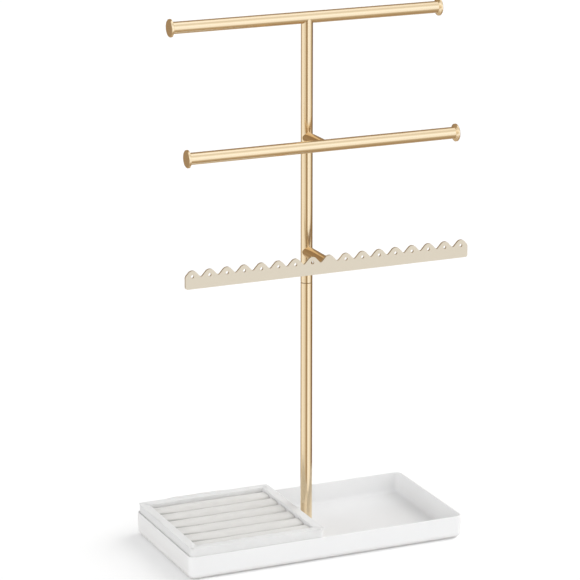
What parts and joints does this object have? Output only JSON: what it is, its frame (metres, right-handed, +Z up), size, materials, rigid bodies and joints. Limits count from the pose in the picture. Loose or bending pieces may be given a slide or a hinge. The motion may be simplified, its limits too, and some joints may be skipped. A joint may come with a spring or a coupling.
{
  "type": "jewelry stand",
  "caption": "Free-standing jewelry stand: shallow tray with a lift-out velvet ring tray, a two-section post, T-bars with flared end caps and a scalloped earring plate.",
  "frame": {"origin": "on the post's axis, at the level that the foot pads stand on", "axes": "+Z up along the post, +X along the bars to the right, -Y to the front"},
  "size_m": [0.2098, 0.101, 0.3697],
  "materials": {
    "white_coat": "satin white powder coat on pressed steel sheet",
    "satin_gold": "satin champagne-gold plating on metal tube",
    "pale_gold": "satin pale champagne-gold plating on flat sheet",
    "zinc_steel": "zinc-plated steel fasteners",
    "pad_rubber": "matte pale grey non-slip pad",
    "velvet": "short-pile off-white velvet over board",
    "roll_velvet": "short-pile off-white velvet over soft foam",
    "board": "plain grey-brown stiff board, hidden under the velvet",
    "felt": "thin pale felt on the underside of the ring tray"
  },
  "bodies": {
    "base": {"tray": "white_coat", "foot_pad_front_left": "pad_rubber", "foot_pad_front_right": "pad_rubber", "foot_pad_rear_left": "pad_rubber", "foot_pad_rear_right": "pad_rubber", "base_screw": "zinc_steel", "base_washer": "zinc_steel", "lower_post_tube": "satin_gold", "lower_post_foot_insert": "zinc_steel", "lower_post_top_insert": "zinc_steel"},
    "upper_frame": {"upper_post_tube": "satin_gold", "upper_post_stud": "zinc_steel", "top_bar_tube": "satin_gold", "top_bar_left_cap": "satin_gold", "top_bar_right_cap": "satin_gold", "mid_bar_standoff": "satin_gold", "mid_bar_tube": "satin_gold", "mid_bar_left_cap": "satin_gold", "mid_bar_right_cap": "satin_gold", "plate_standoff": "satin_gold", "earring_plate": "pale_gold"},
    "ring_tray": {"ring_tray_bottom_sheet": "felt", "ring_tray_base_board": "board", "ring_tray_front_board": "board", "ring_tray_rear_board": "board", "ring_tray_left_board": "board", "ring_tray_right_board": "board", "ring_tray_velvet_wrap": "velvet", "ring_roll_1": "roll_velvet", "ring_roll_2": "roll_velvet", "ring_roll_3": "roll_velvet", "ring_roll_4": "roll_velvet", "ring_roll_5": "roll_velvet", "ring_roll_6": "roll_velvet"}
  },
  "joints": [
    {"name": "upper_post_turn", "type": "hinge", "parent": "base", "child": "upper_frame", "pos_m": [0, 0, 0.1822], "axis": [0, 0, 1], "range_deg": [0, 180]},
    {"name": "ring_tray_lift", "type": "slide", "parent": "base", "child": "ring_tray", "axis": [0, 0, 1], "range_m": [0, 0.06]}
  ]
}
